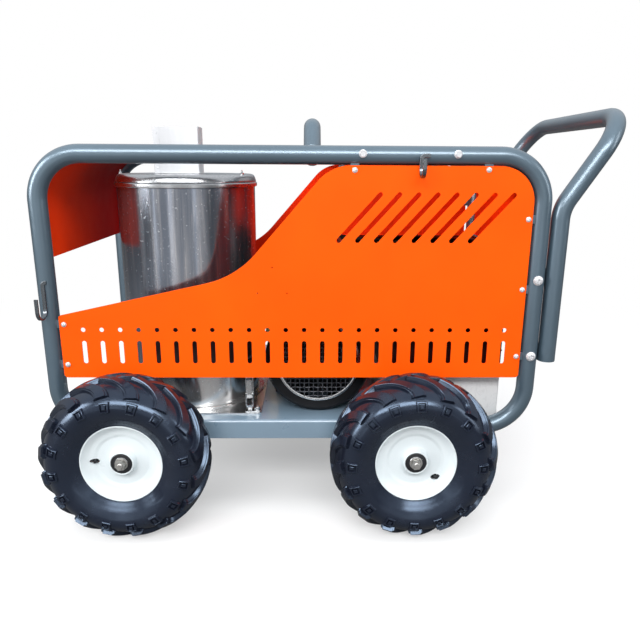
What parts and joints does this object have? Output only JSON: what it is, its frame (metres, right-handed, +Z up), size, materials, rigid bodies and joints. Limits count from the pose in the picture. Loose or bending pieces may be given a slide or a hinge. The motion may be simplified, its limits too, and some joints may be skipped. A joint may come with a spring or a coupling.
{
  "type": "hot water pressure washer",
  "caption": "Wheeled hot water pressure washer: tubular cage with side panels around an upright boiler, a motor with a pump, and a steel tank, on pneumatic wheels, with a push handle.",
  "frame": {"origin": "centre of the bounding box's bottom face, on the floor between the four wheels", "axes": "+X towards the push handle, +Y towards the far side (the burner and the pump), +Z up"},
  "size_m": [1.238, 0.868, 0.8935],
  "materials": {
    "frame_paint": "semi-gloss blue-grey powder coat",
    "panel_paint": "satin orange powder coat on sheet steel",
    "rim_paint": "gloss white enamel",
    "black_paint": "semi-gloss black enamel",
    "brushed_steel": "brushed stainless sheet",
    "mirror_steel": "polished stainless sheet",
    "zinc_steel": "bright zinc plate",
    "cast_aluminium": "cast, bead blasted",
    "brass": "machined brass",
    "rubber": "black hose and seal rubber",
    "tyre_rubber": "black tyre rubber with a slight sheen",
    "black_plastic": "moulded black plastic",
    "red_plastic": "moulded red plastic",
    "dial_white": "white dial in a steel case"
  },
  "bodies": {
    "chassis": {"side_frame_near": "frame_paint", "side_frame_far": "frame_paint", "lifting_bar": "frame_paint", "base_pan": "frame_paint", "push_handle": "frame_paint", "hook_end": "zinc_steel", "hook_top": "zinc_steel", "side_panel_near": "panel_paint", "side_panel_far": "panel_paint", "end_cover": "panel_paint", "hood": "panel_paint", "stub_axle_left_near": "zinc_steel", "stub_axle_left_far": "zinc_steel", "stub_axle_right_near": "zinc_steel", "stub_axle_right_far": "zinc_steel", "axle_nut_left_near": "zinc_steel", "axle_nut_left_far": "zinc_steel", "axle_nut_right_near": "zinc_steel", "axle_nut_right_far": "zinc_steel", "boiler_base_plate": "brushed_steel", "boiler_shell": "mirror_steel", "boiler_lid": "mirror_steel", "boiler_clamp_ring": "mirror_steel", "chimney_duct": "brushed_steel", "heating_coil": "black_paint", "burner_housing": "black_paint", "burner_motor": "cast_aluminium", "latch_catch": "zinc_steel", "latch_body": "zinc_steel", "motor_body": "black_paint", "motor_fan_cowl": "black_paint", "motor_grille": "zinc_steel", "pump_crankcase": "cast_aluminium", "pump_head": "brass", "fuel_tank": "brushed_steel", "control_box": "black_paint", "pressure_gauge": "dial_white", "water_inlet": "brass", "pressure_outlet": "brass", "suction_pipe": "zinc_steel", "feed_pipe": "zinc_steel", "outlet_pipe": "zinc_steel"},
    "wheel_left_near": {"wheel_rim_left_near": "rim_paint", "tyre_left_near": "tyre_rubber", "wheel_bearing_left_near": "rubber"},
    "wheel_left_far": {"wheel_rim_left_far": "rim_paint", "tyre_left_far": "tyre_rubber", "wheel_bearing_left_far": "rubber"},
    "wheel_right_near": {"wheel_rim_right_near": "rim_paint", "tyre_right_near": "tyre_rubber", "wheel_bearing_right_near": "rubber"},
    "wheel_right_far": {"wheel_rim_right_far": "rim_paint", "tyre_right_far": "tyre_rubber", "wheel_bearing_right_far": "rubber"},
    "rotor": {"motor_fan": "black_plastic"},
    "knob": {"pressure_knob": "black_plastic"},
    "cap": {"tank_cap": "black_plastic"},
    "switch": {"main_switch": "red_plastic"},
    "needle": {"gauge_needle": "red_plastic"},
    "latch": {"latch_lever": "zinc_steel"}
  },
  "joints": [
    {"name": "wheel_left_near_spin", "type": "hinge", "parent": "chassis", "child": "wheel_left_near", "pos_m": [-0.429, -0.368, 0.1775], "axis": [0, 1, 0], "continuous": true},
    {"name": "wheel_left_far_spin", "type": "hinge", "parent": "chassis", "child": "wheel_left_far", "pos_m": [-0.429, 0.368, 0.1775], "axis": [0, 1, 0], "continuous": true},
    {"name": "wheel_right_near_spin", "type": "hinge", "parent": "chassis", "child": "wheel_right_near", "pos_m": [0.1774, -0.368, 0.1775], "axis": [0, 1, 0], "continuous": true},
    {"name": "wheel_right_far_spin", "type": "hinge", "parent": "chassis", "child": "wheel_right_far", "pos_m": [0.1774, 0.368, 0.1775], "axis": [0, 1, 0], "continuous": true},
    {"name": "motor_spin", "type": "hinge", "parent": "chassis", "child": "rotor", "pos_m": [-0.024, -0.06, 0.345], "axis": [0, 1, 0], "continuous": true},
    {"name": "pressure_knob_turn", "type": "hinge", "parent": "chassis", "child": "knob", "pos_m": [-0.134, 0.136, 0.4743], "axis": [0, 0, 1], "range_deg": [0, 630]},
    {"name": "tank_cap_turn", "type": "hinge", "parent": "chassis", "child": "cap", "pos_m": [0.345, -0.204, 0.51], "axis": [0, 0, 1], "range_deg": [0, 90]},
    {"name": "main_switch_turn", "type": "hinge", "parent": "chassis", "child": "switch", "pos_m": [0.455, -0.07, 0.64], "axis": [-1, 0, 0], "range_deg": [0, 90]},
    {"name": "gauge_needle_turn", "type": "hinge", "parent": "chassis", "child": "needle", "pos_m": [0.463, 0.058, 0.64], "axis": [-1, 0, 0], "range_deg": [0, 270], "stiffness_Nm_per_rad": 0.001},
    {"name": "latch_lever_swing", "type": "hinge", "parent": "chassis", "child": "latch", "pos_m": [-0.18, -0.246, 0.299], "axis": [-1, 0, 0], "range_deg": [0, 90]}
  ]
}
